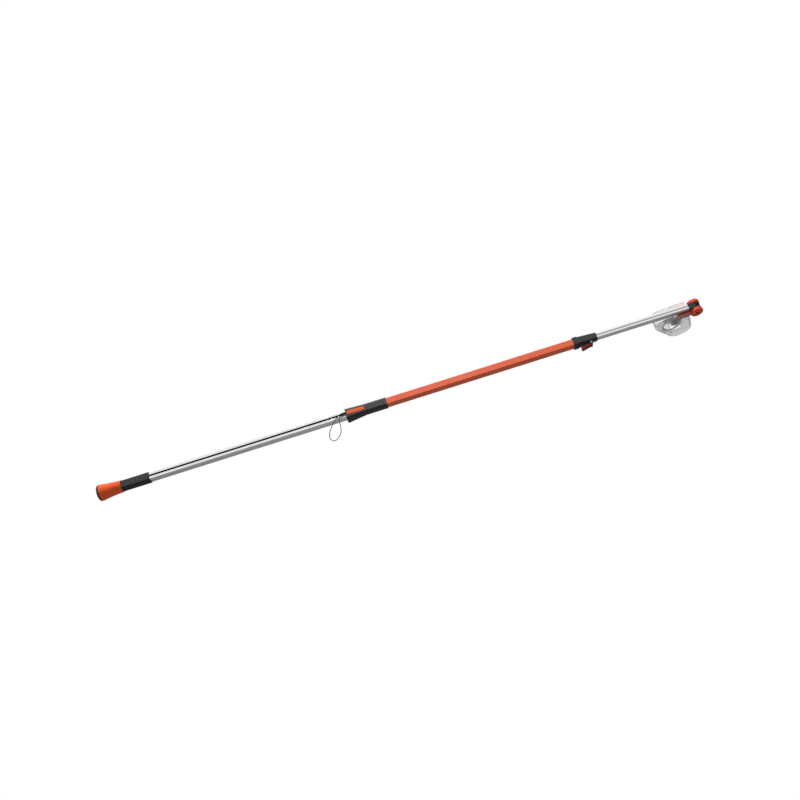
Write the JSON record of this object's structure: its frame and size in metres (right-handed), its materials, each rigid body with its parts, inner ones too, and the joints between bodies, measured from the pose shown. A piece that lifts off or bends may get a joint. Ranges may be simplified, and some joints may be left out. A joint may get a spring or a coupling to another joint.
{
  "type": "telescoping pole pruner",
  "caption": "Telescoping pole pruner with a slotted lower tube, sliding pull handle, clamped extension tube and a folding hook head under a clear guard.",
  "frame": {"origin": "on the pole's axis, at the middle of the lower grip, where a hand holds the pole", "axes": "+X along the pole from its butt to its head, +Y towards the folded cutting head, +Z along the head's pivots, upwards when the pole is held level with its loop hanging"},
  "size_m": [2.0335, 0.1612, 0.1124],
  "materials": {
    "black_plastic": "moulded, satin",
    "black_rubber": "soft grip, matt",
    "orange_plastic": "moulded, satin",
    "red_plastic": "moulded, satin",
    "orange_tube": "powder coat, satin",
    "silver_tube": "drawn and anodised, satin",
    "steel": "zinc plated",
    "dark_steel": "blackened",
    "blade_steel": "ground",
    "grey_metal": "die cast, blasted",
    "black_cord": "braided cord",
    "clear_plastic": "clear moulded plastic"
  },
  "bodies": {
    "pole": {"end_cap": "black_plastic", "end_knob": "orange_plastic", "tube_plug": "black_plastic", "knob_screw": "steel", "lower_grip": "black_rubber", "lower_tube": "silver_tube", "joining_sleeve": "steel", "joint_rivets": "steel", "main_tube": "orange_tube", "guide_bush": "black_plastic", "clamp_body": "black_plastic", "clamp_screws": "steel", "lever_pin": "steel"},
    "slider": {"slider_front": "black_plastic", "slider_rear": "black_plastic", "slider_screws": "steel", "slider_key": "steel", "button_spring": "steel", "pull_loop": "black_cord"},
    "button": {"lock_button": "orange_plastic"},
    "lever": {"clamp_lever": "red_plastic"},
    "shoe": {"clamp_shoe": "black_rubber"},
    "upper_pole": {"upper_tube": "silver_tube", "tail_bush": "black_plastic", "head_knuckle": "black_plastic", "knuckle_pin": "steel", "drive_cord": "black_cord"},
    "sheave": {"sheave": "black_plastic"},
    "head": {"near_cap": "orange_plastic", "far_cap": "orange_plastic", "tilt_bolt": "dark_steel", "tilt_nut": "dark_steel", "near_frame": "grey_metal", "far_frame": "grey_metal", "frame_rivets": "steel", "hook_blade": "blade_steel", "blade_bolt": "dark_steel", "blade_nut": "dark_steel", "blade_spring": "steel"},
    "blade": {"cutting_blade": "blade_steel"},
    "guard": {"blade_guard": "clear_plastic"}
  },
  "joints": [
    {"name": "telescope", "type": "slide", "parent": "pole", "child": "upper_pole", "axis": [1, 0, 0], "range_m": [-0.15, 0.34]},
    {"name": "slider_pull", "type": "slide", "parent": "pole", "child": "slider", "axis": [-1, 0, 0], "range_m": [0, 0.5]},
    {"name": "lock_press", "type": "hinge", "parent": "slider", "child": "button", "pos_m": [0.7705, -0.01484, 0], "axis": [0, 0, -1], "range_deg": [0, 1.5], "stiffness_Nm_per_rad": 2},
    {"name": "lever_swing", "type": "hinge", "parent": "pole", "child": "lever", "pos_m": [1.5285, 0, -0.02], "axis": [0, -1, 0], "range_deg": [0, 95]},
    {"name": "shoe_lift", "type": "slide", "parent": "pole", "child": "shoe", "axis": [0, 0, -1], "range_m": [0, 0.0008]},
    {"name": "head_tilt", "type": "hinge", "parent": "upper_pole", "child": "head", "pos_m": [1.886, 0.011, 0], "axis": [0, 0, -1], "range_deg": [0, 180]},
    {"name": "sheave_spin", "type": "hinge", "parent": "upper_pole", "child": "sheave", "pos_m": [1.886, 0.011, 0], "axis": [0, 0, -1], "continuous": true},
    {"name": "blade_close", "type": "hinge", "parent": "head", "child": "blade", "pos_m": [1.821, 0.053, 0], "axis": [0, 0, -1], "range_deg": [0, 50]},
    {"name": "guard_off", "type": "slide", "parent": "head", "child": "guard", "axis": [0.1736, 0.9848, 0], "range_m": [0, 0.12]}
  ],
  "couplings": [
    {"joint": "blade_close", "follows": "slider_pull", "rad_per_m": 1.7453},
    {"joint": "sheave_spin", "follows": "slider_pull", "rad_per_m": 142.86},
    {"joint": "shoe_lift", "follows": "lever_swing", "m_per_rad": 0.00048249}
  ]
}
